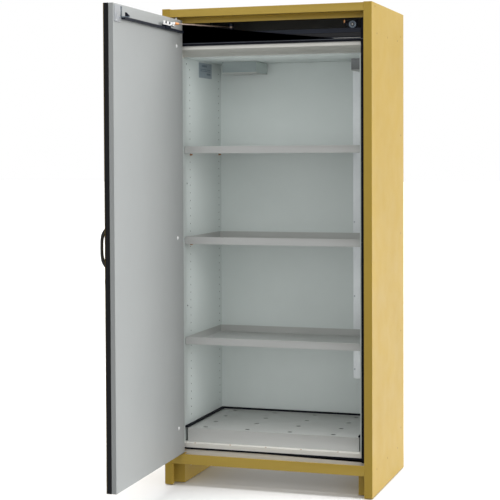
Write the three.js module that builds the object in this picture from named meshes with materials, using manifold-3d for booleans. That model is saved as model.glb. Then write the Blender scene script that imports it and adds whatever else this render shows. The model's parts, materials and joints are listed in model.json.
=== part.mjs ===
// Flammable storage cabinet: one tall wing door on pivot pins, standing open almost at a right angle.
// Millimetres, +Z up, the front faces -Y. The build frame has x = 0 on the cabinet's centre
// plane, y = 0 on its front plane and z = 0 on the floor.
import * as THREE from "three";
import { mergeVertices } from "three/addons/utils/BufferGeometryUtils.js";
import Module from "manifold-3d";

const wasm = await Module();
wasm.setup();

// ---------------------------------------------------------------- driving dimensions
const WIDTH = 868;
const DEPTH = 618;
const HEIGHT = 1947;
const SHEET = 1.5; // outer and inner sheet steel
const GAP = 0.4; // clearance between neighbouring pieces
const ROUND = 32; // segments of a round piece
const ROUND_SMALL = 20;

// Outer shell
const FLANGE_WIDTH = 33; // front flange of each side panel
const FLANGE_LIP = 20; // its return towards the back
const RAIL_BOTTOM = 90; // base rail, lower edge
const RAIL_TOP = 130; // base rail, upper edge
const RAIL_DEPTH = 45;
const RAIL_LIP = 8; // depth of the base rail's upper lip, away from the pivot
const SOFFIT = 1913; // underside of the head rail
const SOFFIT_DEPTH = 250; // how far the head compartment reaches back
const SOFFIT_LIP_FRONT = 45; // lip that hangs from the soffit just behind the closed door
const SOFFIT_LIP_BOTTOM = 1890;
const ROOF = 1943; // underside of the roof sheet, just below the side panels' tops
const SIDE_BOTTOM = 3; // side panels and plinths stop short of the floor
const PLINTH_INNER = 366; // inner face of both plinths, from the centre plane
// Insulated carcass, its lining and the seal on its front
const CARCASS_FRONT = 52;
const WALL_INNER = 374; // lined inner face of both side walls, from the centre plane
const LINING = 4.5;
const BACK_WALL = 565; // lined face of the back wall
const CEILING = 1752;
const FLOOR = 168;
const FLOOR_BOARD_BOTTOM = 116;
const BEVEL_RISE = 31; // bevel between the ceiling and the carcass front
const BEVEL_DEPTH = 50;
const SEAL_FRONT = 45.3;
const SEAL_TOP = [1798, 1811];
const SEAL_BOTTOM = [143, 150];
const SEAL_WIDTH = 20; // of the upright seals
const SEAL_OUTER = 400; // their outer edges, from the centre plane

// Head compartment
const LEDGE_BOTTOM = 1813; // underside of the ledge in the head compartment
const LEDGE_TOP = 1852;
const LEDGE_FRONT = 64;
const COVER_RIGHT = -303; // right edge of the cover over the left end of the compartment

// Door: lengths u run from the pivot axis along the door, v from the axis across it
const PIVOT_X = -380;
const PIVOT_Y = 17;
const REST_ANGLE = 88.5; // how far the door stands open as built, degrees
const DOOR_OUTER = 15; // door thickness on the outer side of the axis
const DOOR_INNER = 24; // and on the inner side
const CORE_INNER = 5; // face between the door's core and its inner panel
const DOOR_HINGE_EDGE = 8; // door beyond the axis, towards the hinge side
const DOOR_FREE_EDGE = 769; // door beyond the axis, towards the free side
const DOOR_BOTTOM = 134;
const DOOR_TOP = 1900;
const PIN_RADIUS = 6;
const BUSH_RADIUS = 9;
const HANDLE_U = DOOR_FREE_EDGE - 25; // handle and lock, from the axis
const HANDLE_Z = 1021;
const LOCK_Z = 900;
const RAIL_U = [16, 688]; // guide rail of the stay
const RAIL_Z = [1847, 1856];
const BRACKET_U = 695; // zinc bracket beyond the rail's end
const BRACKET_Z = [1852.6, 1893];
const CORNER_PLATE_U = [702, 762];
const CORNER_PLATE_Z = [1834, 1895];

// Shelves and sump
const SHELF_TOPS = [601, 1016, 1390]; // rim heights of the tray shelves
const SHELF_HALF = WALL_INNER - 2;
const SHELF_RIM = 30;
const SHELF_FRONT = 86;
const SHELF_BACK = 544;
const SUMP_TOP = 226; // rim height of the collecting sump
const SUMP_HALF = 362;
const SUMP_FRONT = 80;
const SUMP_BACK = 556;
const INSERT_DROP = 2; // insert below the sump's front rim
const INSERT_ROWS = 4;
const INSERT_COLUMNS = 4;
const INSERT_FIRST = [-300, 124]; // centre of the first drain hole
const INSERT_PITCH = [182, 133];
const INSERT_HOLE = 11;

// Ventilation
const HOOD_FRONT = 380;
const HOOD_DROP = 50;
const HOOD_LEFT = [-304, -152];
const HOOD_RIGHT = [262, 372];
const BORE_RADIUS = 37; // duct bores through the roof and the ceiling
const BORE_Y = 472;
const COLLAR_RISE = 22;
const DAMPER_Z = 1880;
const DUCT_DEPTH = 20;
const DUCT_BOTTOM = 388;
const DUCT_LEFT = 238;

// Stay and catch
const ARM_Z = 1873; // height of the stay arm in the head compartment
const ARM_POST = [-173, 100];
const CARRIAGE_U = 172; // the carriage's pin, from the door axis along the door
const CARRIAGE_V = 46; // and out from the axis on the inner side
const CATCH = [336, 1868.5]; // x and z of the catch lever's stud
const LABEL_Y = [275, 440];
const LABEL_Z = [1682, 1746];

// ---------------------------------------------------------------- materials
function paint(color, roughness = 0.5, metalness = 0) {
  return new THREE.MeshStandardMaterial({ color, roughness, metalness });
}
const YELLOW = paint(0xc9a43c, 0.45);
const LIGHT_GREY = paint(0xb9bdbc, 0.4);
const PANEL_GREY = paint(0x9aa5a2, 0.45);
const CREAM = paint(0xd6d3c6, 0.6);
const SHELF_GREY = paint(0xa5a5a0, 0.4);
const BLACK = paint(0x0b0d10, 0.6);
const NAVY = paint(0x15171f, 0.5);
const DARK_GREY = paint(0x3a3a3a, 0.55);
const ZINC = paint(0xb8c0c6, 0.3, 0.9);
const STEEL = paint(0x8d9296, 0.35, 0.9);
const COPPER = paint(0xa8683c, 0.4, 0.8);
const CLEAR = paint(0xdfe6ea, 0.2);

// ---------------------------------------------------------------- solids
function toSolid(geometry) {
  const bare = new THREE.BufferGeometry();
  const source = geometry.index ? geometry.toNonIndexed() : geometry;
  bare.setAttribute("position", source.getAttribute("position"));
  const merged = mergeVertices(bare, 1e-4);
  const mesh = new wasm.Mesh({
    numProp: 3,
    vertProperties: merged.attributes.position.array,
    triVerts: new Uint32Array(merged.index.array),
  });
  return new wasm.Manifold(mesh);
}

function toGeometry(solid) {
  const mesh = solid.getMesh();
  const geometry = new THREE.BufferGeometry();
  geometry.setAttribute("position", new THREE.BufferAttribute(mesh.vertProperties, 3));
  geometry.setIndex(new THREE.BufferAttribute(mesh.triVerts, 1));
  geometry.computeVertexNormals();
  return geometry;
}

function cut(body, ...tools) {
  return toGeometry(tools.reduce((rest, tool) => rest.subtract(toSolid(tool)), toSolid(body)));
}

function join(...bodies) {
  return toGeometry(bodies.slice(1).reduce((sum, next) => sum.add(toSolid(next)), toSolid(bodies[0])));
}

// A box from its limits on each axis.
function box([x0, x1], [y0, y1], [z0, z1]) {
  const geometry = new THREE.BoxGeometry(x1 - x0, y1 - y0, z1 - z0);
  return geometry.translate((x0 + x1) / 2, (y0 + y1) / 2, (z0 + z1) / 2);
}

function outline(points) {
  return new THREE.Shape(points.map(([a, b]) => new THREE.Vector2(a, b)));
}

// An outline in the XY plane, raised from z0 to z1.
function prismZ(points, [z0, z1]) {
  const geometry = new THREE.ExtrudeGeometry(outline(points), { depth: z1 - z0, bevelEnabled: false });
  return geometry.translate(0, 0, z0);
}

// An outline in the YZ plane, drawn out from x0 to x1.
function prismX(points, [x0, x1]) {
  const geometry = new THREE.ExtrudeGeometry(outline(points), { depth: x1 - x0, bevelEnabled: false });
  const turn = new THREE.Matrix4().set(0, 0, 1, x0, 1, 0, 0, 0, 0, 1, 0, 0, 0, 0, 0, 1);
  return geometry.applyMatrix4(turn);
}

// A profile of [radius, height] points turned about a vertical axis at (x, y).
function turned(profile, [x, y], segments = ROUND) {
  const points = profile.map(([r, z]) => new THREE.Vector2(r, z));
  return new THREE.LatheGeometry(points, segments).rotateX(Math.PI / 2).translate(x, y, 0);
}

function rod(radius, [z0, z1], centre, segments = ROUND) {
  return turned([[0, z0], [radius, z0], [radius, z1], [0, z1]], centre, segments);
}

// A round bar along X or Y through a point.
function barX(radius, [x0, x1], [y, z], segments = ROUND_SMALL) {
  const bar = new THREE.CylinderGeometry(radius, radius, x1 - x0, segments);
  return bar.rotateZ(-Math.PI / 2).translate((x0 + x1) / 2, y, z);
}

function barY(radius, [y0, y1], [x, z], segments = ROUND_SMALL) {
  return new THREE.CylinderGeometry(radius, radius, y1 - y0, segments).translate(x, (y0 + y1) / 2, z);
}

// A tray: a box open at the top, with walls one sheet thick.
function tray([x0, x1], [y0, y1], [z0, z1], wall = SHEET) {
  const hollow = box([x0 + wall, x1 - wall], [y0 + wall, y1 - wall], [z0 + wall, z1 + 1]);
  return cut(box([x0, x1], [y0, y1], [z0, z1]), hollow);
}

// ---------------------------------------------------------------- assembly
const cabinet = new THREE.Group();

function add(name, geometry, material) {
  const mesh = new THREE.Mesh(geometry, material);
  mesh.name = name;
  cabinet.add(mesh);
}

const HALF = WIDTH / 2;
const SIDES = [["left", -1], ["right", 1]];
const INSIDE = HALF - SHEET - GAP; // room between the outer side sheets, from the centre plane
const FLANGE_EDGE = HALF - FLANGE_WIDTH;
const LINING_OUTER = WALL_INNER + LINING;
const BOARD_HALF = LINING_OUTER + GAP; // side boards start here
const LINING_BACK = BACK_WALL + LINING;
const BACK_BOARD_FRONT = LINING_BACK + GAP;
const BOARD_BACK = DEPTH - SHEET - GAP;
const CEILING_BOARD = CEILING + LINING + GAP;
const HEAD_HALF = BOARD_HALF - GAP; // half the width of the head compartment

// A range mirrored to the left side where side is -1.
function mirrored(side, low, high) {
  return side < 0 ? [-high, -low] : [low, high];
}

// ---- outer shell
function sidePanel(side) {
  const s = SHEET;
  const profile = [
    [HALF, 0],
    [HALF, DEPTH],
    [HALF - s, DEPTH],
    [HALF - s, s],
    [FLANGE_EDGE + s, s],
    [FLANGE_EDGE + s, FLANGE_LIP],
    [FLANGE_EDGE, FLANGE_LIP],
    [FLANGE_EDGE, 0],
  ].map(([x, y]) => [side * x, y]);
  return prismZ(profile, [SIDE_BOTTOM, HEIGHT]);
}

// Open towards the floor and towards the side panel that closes it.
function plinth(side) {
  const inner = PLINTH_INNER;
  const top = FLOOR_BOARD_BOTTOM - GAP;
  const shell = box(mirrored(side, inner, INSIDE), [CARCASS_FRONT + 1, DEPTH - 2], [SIDE_BOTTOM, top]);
  const room = box(
    mirrored(side, inner + SHEET, HALF),
    [CARCASS_FRONT + 1 + SHEET, DEPTH - 2 - SHEET],
    [SIDE_BOTTOM - 1, top - SHEET],
  );
  return cut(shell, room);
}

function headRail() {
  const front = GAP;
  const half = FLANGE_EDGE - GAP;
  const lip = SOFFIT_LIP_FRONT;
  const profile = [
    [front, SOFFIT],
    [lip, SOFFIT],
    [lip, SOFFIT_LIP_BOTTOM],
    [lip + SHEET, SOFFIT_LIP_BOTTOM],
    [lip + SHEET, SOFFIT],
    [SOFFIT_DEPTH - GAP, SOFFIT],
    [SOFFIT_DEPTH - GAP, SOFFIT + SHEET],
    [front + SHEET, SOFFIT + SHEET],
    [front + SHEET, ROOF],
    [FLANGE_LIP, ROOF],
    [FLANGE_LIP, ROOF + SHEET],
    [front, ROOF + SHEET],
  ];
  const seat = rod(BUSH_RADIUS + 0.4, [SOFFIT - 1, SOFFIT + 4], [PIVOT_X, PIVOT_Y]);
  return cut(prismX(profile, [-half, half]), seat);
}

// A channel whose upper lip widens only under the door's pivot.
function baseRail() {
  const front = GAP;
  const half = FLANGE_EDGE - GAP;
  const s = SHEET;
  const profile = [
    [front, RAIL_BOTTOM],
    [RAIL_DEPTH, RAIL_BOTTOM],
    [RAIL_DEPTH, RAIL_BOTTOM + s],
    [front + s, RAIL_BOTTOM + s],
    [front + s, RAIL_TOP - s],
    [RAIL_LIP, RAIL_TOP - s],
    [RAIL_LIP, RAIL_TOP],
    [front, RAIL_TOP],
  ];
  const bracket = box([-half, PIVOT_X + 26], [front, RAIL_DEPTH], [RAIL_TOP - s, RAIL_TOP]);
  const seat = rod(BUSH_RADIUS + 0.4, [RAIL_TOP - 4, RAIL_TOP + 1], [PIVOT_X, PIVOT_Y]);
  return cut(join(prismX(profile, [-half, half]), bracket), seat);
}

function middle([low, high]) {
  return (low + high) / 2;
}

const BORES = [middle(HOOD_LEFT), middle(HOOD_RIGHT)];

function ductBores(z0, z1) {
  return BORES.map((x) => rod(BORE_RADIUS, [z0, z1], [x, BORE_Y]));
}

// The roof sheet, notched along its front edge for the head rail's top lip.
function roofPanel() {
  const sheet = box([-INSIDE, INSIDE], [SHEET + GAP, DEPTH], [ROOF, ROOF + SHEET]);
  const half = FLANGE_EDGE + SHEET + GAP;
  const notch = box([-half, half], [0, FLANGE_LIP + GAP], [ROOF - 1, ROOF + 4]);
  return cut(sheet, notch, ...ductBores(ROOF - 1, ROOF + 4));
}

function addShell() {
  for (const [label, side] of SIDES) {
    add(`side_panel_${label}`, sidePanel(side), YELLOW);
    add(`plinth_${label}`, plinth(side), YELLOW);
  }
  add("roof_panel", roofPanel(), YELLOW);
  add("back_panel", box([-INSIDE, INSIDE], [DEPTH - SHEET, DEPTH], [RAIL_TOP, ROOF - GAP]), YELLOW);
  add("head_rail", headRail(), YELLOW);
  add("base_rail", baseRail(), YELLOW);
}

// ---- levelling feet inside the plinths
const FOOT_X = 400;
const FOOT_Y = [100, 560];

function foot(centre) {
  const stemTop = FLOOR_BOARD_BOTTOM - SHEET - 2 * GAP;
  const profile = [[0, 0], [22, 0], [22, 5], [11, 12], [11, 24], [6, 24], [6, stemTop], [0, stemTop]];
  return turned(profile, centre, ROUND_SMALL);
}

function addFeet() {
  for (const [label, side] of SIDES) {
    for (const [place, y] of [["front", FOOT_Y[0]], ["rear", FOOT_Y[1]]]) {
      add(`levelling_foot_${place}_${label}`, foot([side * FOOT_X, y]), DARK_GREY);
    }
  }
}

// ---- insulated carcass and its lining
// A slab over the interior, stepped up behind the head compartment, with a bevelled front edge.
function ceilingBoard() {
  const bevelTop = CEILING + BEVEL_RISE;
  const bevelBack = CARCASS_FRONT + BEVEL_DEPTH;
  const stepBack = SOFFIT_DEPTH + 2 + GAP;
  const profile = [
    [CARCASS_FRONT, LEDGE_BOTTOM - GAP],
    [CARCASS_FRONT, bevelTop],
    [bevelBack, CEILING_BOARD],
    [LINING_BACK, CEILING_BOARD],
    [LINING_BACK, ROOF - GAP],
    [stepBack, ROOF - GAP],
    [stepBack, LEDGE_BOTTOM - GAP],
  ];
  const half = BOARD_HALF - GAP;
  return cut(prismX(profile, [-half, half]), ...ductBores(CEILING, ROOF));
}

// A full-height side board, notched at its top front corner for the head rail's soffit.
function sideBoard(side) {
  const x = mirrored(side, BOARD_HALF, INSIDE);
  const board = box(x, [CARCASS_FRONT, LINING_BACK], [FLOOR_BOARD_BOTTOM, ROOF - GAP]);
  const notch = box(
    mirrored(side, BOARD_HALF - 5, INSIDE + 5),
    [CARCASS_FRONT - 5, SOFFIT_DEPTH],
    [SOFFIT - GAP, ROOF],
  );
  return cut(board, notch);
}

function addCarcass() {
  for (const [label, side] of SIDES) {
    add(`insulation_${label}`, sideBoard(side), CREAM);
    const lining = box(
      mirrored(side, WALL_INNER, LINING_OUTER),
      [CARCASS_FRONT, BACK_WALL - GAP],
      [FLOOR + GAP, CEILING - GAP],
    );
    add(`lining_${label}`, lining, PANEL_GREY);
  }
  const back = box([-INSIDE, INSIDE], [BACK_BOARD_FRONT, BOARD_BACK], [RAIL_TOP, ROOF - GAP]);
  add("insulation_back", back, CREAM);
  add("insulation_top", ceilingBoard(), CREAM);
  const floorHalf = BOARD_HALF - GAP;
  const floor = box([-floorHalf, floorHalf], [CARCASS_FRONT, LINING_BACK], [FLOOR_BOARD_BOTTOM, FLOOR]);
  add("floor_board", floor, CREAM);
  const liningBack = box([-LINING_OUTER, LINING_OUTER], [BACK_WALL, LINING_BACK], [FLOOR + GAP, CEILING - GAP]);
  add("lining_back", liningBack, PANEL_GREY);
  const liningTop = box(
    [-LINING_OUTER, LINING_OUTER],
    [CARCASS_FRONT + BEVEL_DEPTH, LINING_BACK],
    [CEILING, CEILING + LINING],
  );
  add("lining_top", cut(liningTop, ...ductBores(CEILING - 2, CEILING + LINING + 2)), PANEL_GREY);
}

// ---- head compartment above the door opening
function ledge() {
  const profile = [
    [LEDGE_FRONT, LEDGE_BOTTOM],
    [LEDGE_FRONT + 2, LEDGE_BOTTOM],
    [LEDGE_FRONT + 2, LEDGE_TOP - 2],
    [SOFFIT_DEPTH - GAP, LEDGE_TOP - 2],
    [SOFFIT_DEPTH - GAP, LEDGE_TOP],
    [LEDGE_FRONT, LEDGE_TOP],
  ];
  return prismX(profile, [-HEAD_HALF, HEAD_HALF]);
}

// The compartment's back, folded forwards at both ends.
function headBackPlate() {
  const back = box([-HEAD_HALF, HEAD_HALF], [SOFFIT_DEPTH, SOFFIT_DEPTH + 2], [LEDGE_BOTTOM, ROOF - GAP]);
  const ends = SIDES.map(([, side]) =>
    box(
      mirrored(side, HEAD_HALF - 2, HEAD_HALF),
      [LEDGE_FRONT, SOFFIT_DEPTH + 1],
      [LEDGE_TOP + GAP, SOFFIT - GAP],
    ),
  );
  return join(back, ...ends);
}

function headSideCover() {
  const x = [-HEAD_HALF + 2 + GAP, COVER_RIGHT];
  return box(x, [SOFFIT_DEPTH - 14, SOFFIT_DEPTH - GAP], [LEDGE_TOP + GAP, SOFFIT - GAP]);
}

function addHead() {
  add("head_ledge", ledge(), NAVY);
  add("head_back_plate", headBackPlate(), DARK_GREY);
  add("head_side_cover", headSideCover(), DARK_GREY);
}

// ---- seal on the carcass front, around the opening and up beside the head compartment
function doorSeal() {
  const depth = [SEAL_FRONT, CARCASS_FRONT - 0.3];
  const z = [RAIL_TOP + 2, SOFFIT_LIP_BOTTOM - GAP];
  const bars = [SEAL_TOP, SEAL_BOTTOM].map((height) => box([-SEAL_OUTER, SEAL_OUTER], depth, height));
  const uprights = SIDES.map(([, side]) => box(mirrored(side, SEAL_OUTER - SEAL_WIDTH, SEAL_OUTER), depth, z));
  return join(...bars, ...uprights);
}

// ---- shelves and sump
function addShelves() {
  ["lower", "middle", "upper"].forEach((label, i) => {
    const top = SHELF_TOPS[i];
    const shelf = tray([-SHELF_HALF, SHELF_HALF], [SHELF_FRONT, SHELF_BACK], [top - SHELF_RIM, top]);
    add(`tray_shelf_${label}`, shelf, SHELF_GREY);
  });
}

// A flat grid plate with drain holes, standing on folded side legs inside the sump.
function sumpInsert() {
  const half = SUMP_HALF - 3;
  const y = [SUMP_FRONT + 3, SUMP_BACK - 3];
  const top = SUMP_TOP - INSERT_DROP;
  const plate = box([-half, half], y, [top - 2, top]);
  const legs = [-half, half - 2].map((x) => box([x, x + 2], y, [FLOOR + 3, top]));
  const holes = [];
  for (let row = 0; row < INSERT_ROWS; row += 1) {
    for (let column = 0; column < INSERT_COLUMNS; column += 1) {
      const centre = [INSERT_FIRST[0] + column * INSERT_PITCH[0], INSERT_FIRST[1] + row * INSERT_PITCH[1]];
      holes.push(rod(INSERT_HOLE, [top - 4, top + 2], centre, ROUND_SMALL));
    }
  }
  return cut(join(plate, ...legs), ...holes);
}

// A strip that covers the gap between the sump's rim and the walls on three sides.
function sumpSeal() {
  const half = WALL_INNER - GAP;
  const inner = SUMP_HALF - 4;
  const height = [SUMP_TOP + 0.3, SUMP_TOP + 7.3];
  const inside = box([-inner, inner], [SUMP_FRONT - 1, SUMP_BACK - 4], [SUMP_TOP - 1, SUMP_TOP + 9]);
  return cut(box([-half, half], [SUMP_FRONT, BACK_WALL - GAP], height), inside);
}

function addSump() {
  add("sump", tray([-SUMP_HALF, SUMP_HALF], [SUMP_FRONT, SUMP_BACK], [FLOOR + GAP, SUMP_TOP]), SHELF_GREY);
  add("sump_insert", sumpInsert(), SHELF_GREY);
  add("sump_seal", sumpSeal(), BLACK);
}

// ---- ventilation
// Open at the top over its bore. The supply hood also opens to the right, the exhaust hood to the back.
function hood([x0, x1], opensRight) {
  const top = CEILING - GAP;
  const s = SHEET;
  const chamfer = 4;
  const profile = [
    [HOOD_FRONT, top],
    [HOOD_FRONT, CEILING - HOOD_DROP + chamfer],
    [HOOD_FRONT + chamfer, CEILING - HOOD_DROP],
    [BACK_WALL - DUCT_DEPTH, CEILING - HOOD_DROP],
    [BACK_WALL - DUCT_DEPTH, top],
  ];
  const roomBack = BACK_WALL - DUCT_DEPTH + (opensRight ? -s : 1);
  const room = [
    [HOOD_FRONT + s, top + 1],
    [HOOD_FRONT + s, CEILING - HOOD_DROP + chamfer + s],
    [HOOD_FRONT + chamfer + s, CEILING - HOOD_DROP + s],
    [roomBack, CEILING - HOOD_DROP + s],
    [roomBack, top + 1],
  ];
  const roomRight = opensRight ? x1 + 1 : x1 - s;
  return cut(prismX(profile, [x0, x1]), prismX(room, [x0 + s, roomRight]));
}

// A flat channel on the back wall with a flange along its left edge, open at the bottom and into the hood.
function airDuct() {
  const right = WALL_INNER - 1;
  const back = BACK_WALL - GAP;
  const z = [DUCT_BOTTOM, CEILING - GAP];
  const body = box([DUCT_LEFT, right], [BACK_WALL - DUCT_DEPTH + GAP, back], z);
  const flange = box([DUCT_LEFT - 12, DUCT_LEFT + 2], [back - 3, back], z);
  const room = box([DUCT_LEFT + SHEET, right - SHEET], [BACK_WALL - DUCT_DEPTH + 2, back - SHEET], [0, CEILING - 3]);
  const port = box(
    [HOOD_RIGHT[0] + 8, HOOD_RIGHT[1] - 8],
    [BACK_WALL - DUCT_DEPTH, BACK_WALL - DUCT_DEPTH + 5],
    [CEILING - HOOD_DROP + 8, CEILING - 10],
  );
  return cut(join(body, flange), room, port);
}

function collar(x) {
  const profile = [
    [BORE_RADIUS - 1.5, ROOF + SHEET + GAP],
    [BORE_RADIUS + 12, ROOF + SHEET + GAP],
    [BORE_RADIUS + 12, ROOF + SHEET + 3],
    [BORE_RADIUS + 0.5, ROOF + SHEET + 3],
    [BORE_RADIUS + 0.5, ROOF + COLLAR_RISE],
    [BORE_RADIUS - 1.5, ROOF + COLLAR_RISE],
    [BORE_RADIUS - 1.5, ROOF + SHEET + GAP],
  ];
  return turned(profile, [x, BORE_Y]);
}

// A round flap standing open, edge on to the air, on a spindle along X.
function damper(x) {
  const radius = BORE_RADIUS - 4;
  const flap = barY(radius, [BORE_Y - 1, BORE_Y + 1], [x, DAMPER_Z], ROUND);
  const spindle = barX(2.5, [x - BORE_RADIUS + 1, x + BORE_RADIUS - 1], [BORE_Y, DAMPER_Z], 12);
  return join(flap, spindle);
}

function addVentilation() {
  ["supply", "exhaust"].forEach((label, i) => {
    add(`${label}_hood`, hood([HOOD_LEFT, HOOD_RIGHT][i], i === 0), PANEL_GREY);
    add(`${label}_collar`, collar(BORES[i]), ZINC);
    add(`${label}_damper`, damper(BORES[i]), STEEL);
  });
  add("air_duct", airDuct(), STEEL);
}

// ---- door, drawn open at a right angle in u and v and then turned back to its rest angle
function doorBox([u0, u1], [v0, v1], z) {
  return box([PIVOT_X + v0, PIVOT_X + v1], [PIVOT_Y - u1, PIVOT_Y - u0], z);
}

const REST_TURN = THREE.MathUtils.degToRad(90 - REST_ANGLE);

function addOnDoor(name, geometry, material) {
  const atAxis = geometry.translate(-PIVOT_X, -PIVOT_Y, 0);
  add(name, atAxis.rotateZ(REST_TURN).translate(PIVOT_X, PIVOT_Y, 0), material);
}

// The point at (u, v) on the door as it stands at rest.
function onDoor(u, v) {
  const [cos, sin] = [Math.cos(REST_TURN), Math.sin(REST_TURN)];
  return [PIVOT_X + v * cos + u * sin, PIVOT_Y + v * sin - u * cos];
}

// A bow handle: a bar that rises from two feet, drawn as an outline in v and z.
function doorHandle() {
  const width = 14;
  const half = 71;
  const rise = 25;
  const bar = 9;
  const foot = 12;
  const steps = 12;
  const outer = [];
  const inner = [];
  for (let i = 0; i <= steps; i += 1) {
    const t = (2 * i) / steps - 1;
    const reach = -rise * (0.3 + 0.7 * (1 - t ** 4));
    outer.push([reach, HANDLE_Z + t * half]);
    inner.push([reach + bar, HANDLE_Z + t * (half - foot)]);
  }
  const upperFoot = [[-GAP, HANDLE_Z + half], [-GAP, HANDLE_Z + half - foot]];
  const lowerFoot = [[-GAP, HANDLE_Z - half + foot], [-GAP, HANDLE_Z - half]];
  const points = [...outer, ...upperFoot, ...inner.slice(1, -1).reverse(), ...lowerFoot];
  const shape = outline(points.map(([out, z]) => [PIVOT_X - DOOR_OUTER + out, z]));
  const bow = new THREE.ExtrudeGeometry(shape, { depth: width, bevelEnabled: false });
  return bow.rotateX(Math.PI / 2).translate(0, PIVOT_Y - HANDLE_U + width / 2, 0);
}

// A round cylinder on the door's outer face with an upright key slot.
function lockCylinder() {
  const y = PIVOT_Y - HANDLE_U;
  const face = PIVOT_X - DOOR_OUTER - GAP;
  const barrel = barX(11, [face - 7, face], [y, LOCK_Z], ROUND_SMALL);
  const slot = box([face - 9, face - 3], [y - 1, y + 1], [LOCK_Z - 6, LOCK_Z + 6]);
  return cut(barrel, slot);
}

// A pin with a round foot plate, standing on the door's top or hanging from its bottom.
function pivotPin(face, direction) {
  const at = (rise) => face + direction * rise;
  const profile = [
    [0, at(GAP)],
    [12, at(GAP)],
    [12, at(3)],
    [PIN_RADIUS, at(3)],
    [PIN_RADIUS, at(20)],
    [0, at(20)],
  ];
  return turned(direction > 0 ? profile : profile.reverse(), [PIVOT_X, PIVOT_Y]);
}

// A flanged bush seated in a rail, around the pivot pin.
function pivotBush(seat, direction) {
  const at = (rise) => seat + direction * rise;
  const bore = PIN_RADIUS + 0.1;
  const profile = [
    [bore, at(0)],
    [BUSH_RADIUS, at(0)],
    [BUSH_RADIUS, at(SHEET + 2 * GAP)],
    [BUSH_RADIUS + 4, at(SHEET + 2 * GAP)],
    [BUSH_RADIUS + 4, at(SHEET + 4)],
    [bore, at(SHEET + 4)],
    [bore, at(0)],
  ];
  return turned(direction > 0 ? profile : profile.reverse(), [PIVOT_X, PIVOT_Y]);
}

// A channel open upwards, in which the carriage runs.
function doorRail() {
  const face = DOOR_INNER + GAP;
  const body = doorBox(RAIL_U, [face, face + 14], RAIL_Z);
  const groove = doorBox([RAIL_U[0] - 1, RAIL_U[1] + 1], [face + 4, face + 10], [RAIL_Z[0] + 3, RAIL_Z[1] + 1]);
  return cut(body, groove);
}

// An upright leg on the door with a foot that stands out from it.
function railEndBracket() {
  const face = DOOR_INNER + GAP;
  const u = [BRACKET_U - 6, BRACKET_U + 6];
  const leg = doorBox(u, [face, face + 3], BRACKET_Z);
  const arm = doorBox(u, [face, face + 34], [BRACKET_Z[0], BRACKET_Z[0] + 3]);
  return join(leg, arm);
}

// A wedge on the bracket's foot that pushes under the catch.
function railBumper() {
  const v = DOOR_INNER + 19;
  const z = BRACKET_Z[0] + 3 + GAP;
  const wedge = [[v, z], [v + 15, z], [v + 14, z + 3], [v + 4, z + 14], [v, z + 14]];
  const shape = outline(wedge.map(([out, height]) => [PIVOT_X + out, height]));
  const solid = new THREE.ExtrudeGeometry(shape, { depth: 12, bevelEnabled: false });
  return solid.rotateX(Math.PI / 2).translate(0, PIVOT_Y - BRACKET_U + 6, 0);
}

function addDoor() {
  const whole = [-DOOR_HINGE_EDGE, DOOR_FREE_EDGE];
  const z = [DOOR_BOTTOM, DOOR_TOP];
  const skinBack = -DOOR_OUTER + SHEET;
  const plate = doorBox(CORNER_PLATE_U, [DOOR_INNER + GAP, DOOR_INNER + 3], CORNER_PLATE_Z);
  addOnDoor("door_skin", doorBox(whole, [-DOOR_OUTER, skinBack], z), YELLOW);
  addOnDoor("door_core", doorBox(whole, [skinBack + GAP, CORE_INNER - GAP], z), BLACK);
  addOnDoor("door_inner_panel", doorBox(whole, [CORE_INNER, DOOR_INNER], z), LIGHT_GREY);
  addOnDoor("door_handle", doorHandle(), BLACK);
  addOnDoor("lock_cylinder", lockCylinder(), ZINC);
  addOnDoor("door_rail", doorRail(), DARK_GREY);
  addOnDoor("rail_end_bracket", railEndBracket(), ZINC);
  addOnDoor("rail_bumper", railBumper(), BLACK);
  addOnDoor("corner_plate", plate, CLEAR);
  add("upper_pivot_pin", pivotPin(DOOR_TOP, 1), STEEL);
  add("lower_pivot_pin", pivotPin(DOOR_BOTTOM, -1), STEEL);
  add("upper_pivot_bush", pivotBush(SOFFIT - 0.5, 1), BLACK);
  add("lower_pivot_bush", pivotBush(RAIL_TOP + 0.5, -1), BLACK);
}

// ---- stay: a carriage in the door's rail, tied by an arm to a post in the head compartment
// A block that hangs over the rail, with a keel in its groove, an upright plate and a tab for the arm's pin.
function carriage() {
  const face = DOOR_INNER + GAP;
  const front = CARRIAGE_V - 5;
  const u = [CARRIAGE_U + 16, CARRIAGE_U + 73];
  const base = RAIL_Z[1] + 0.5;
  const keel = doorBox(u, [face + 4.5, face + 9.5], [RAIL_Z[0] + 3.5, base + 2]);
  const block = doorBox(u, [face + 1, front + 1], [base, base + 9]);
  const apron = doorBox(u, [face + 14.5, front + 1], [RAIL_Z[0] + 3, base + 1]);
  const plate = doorBox([CARRIAGE_U + 11, CARRIAGE_U + 106], [front, front + 3], [base + 5, base + 21]);
  const tab = doorBox([CARRIAGE_U - 9, CARRIAGE_U + 24], [front, CARRIAGE_V + 6], [base + 5, base + 8]);
  const centre = [PIVOT_X + CARRIAGE_V, PIVOT_Y - CARRIAGE_U];
  const pin = rod(3.5, [base + 7, ARM_Z - 3.5], centre, ROUND_SMALL);
  return join(keel, block, apron, plate, tab, pin);
}

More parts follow.
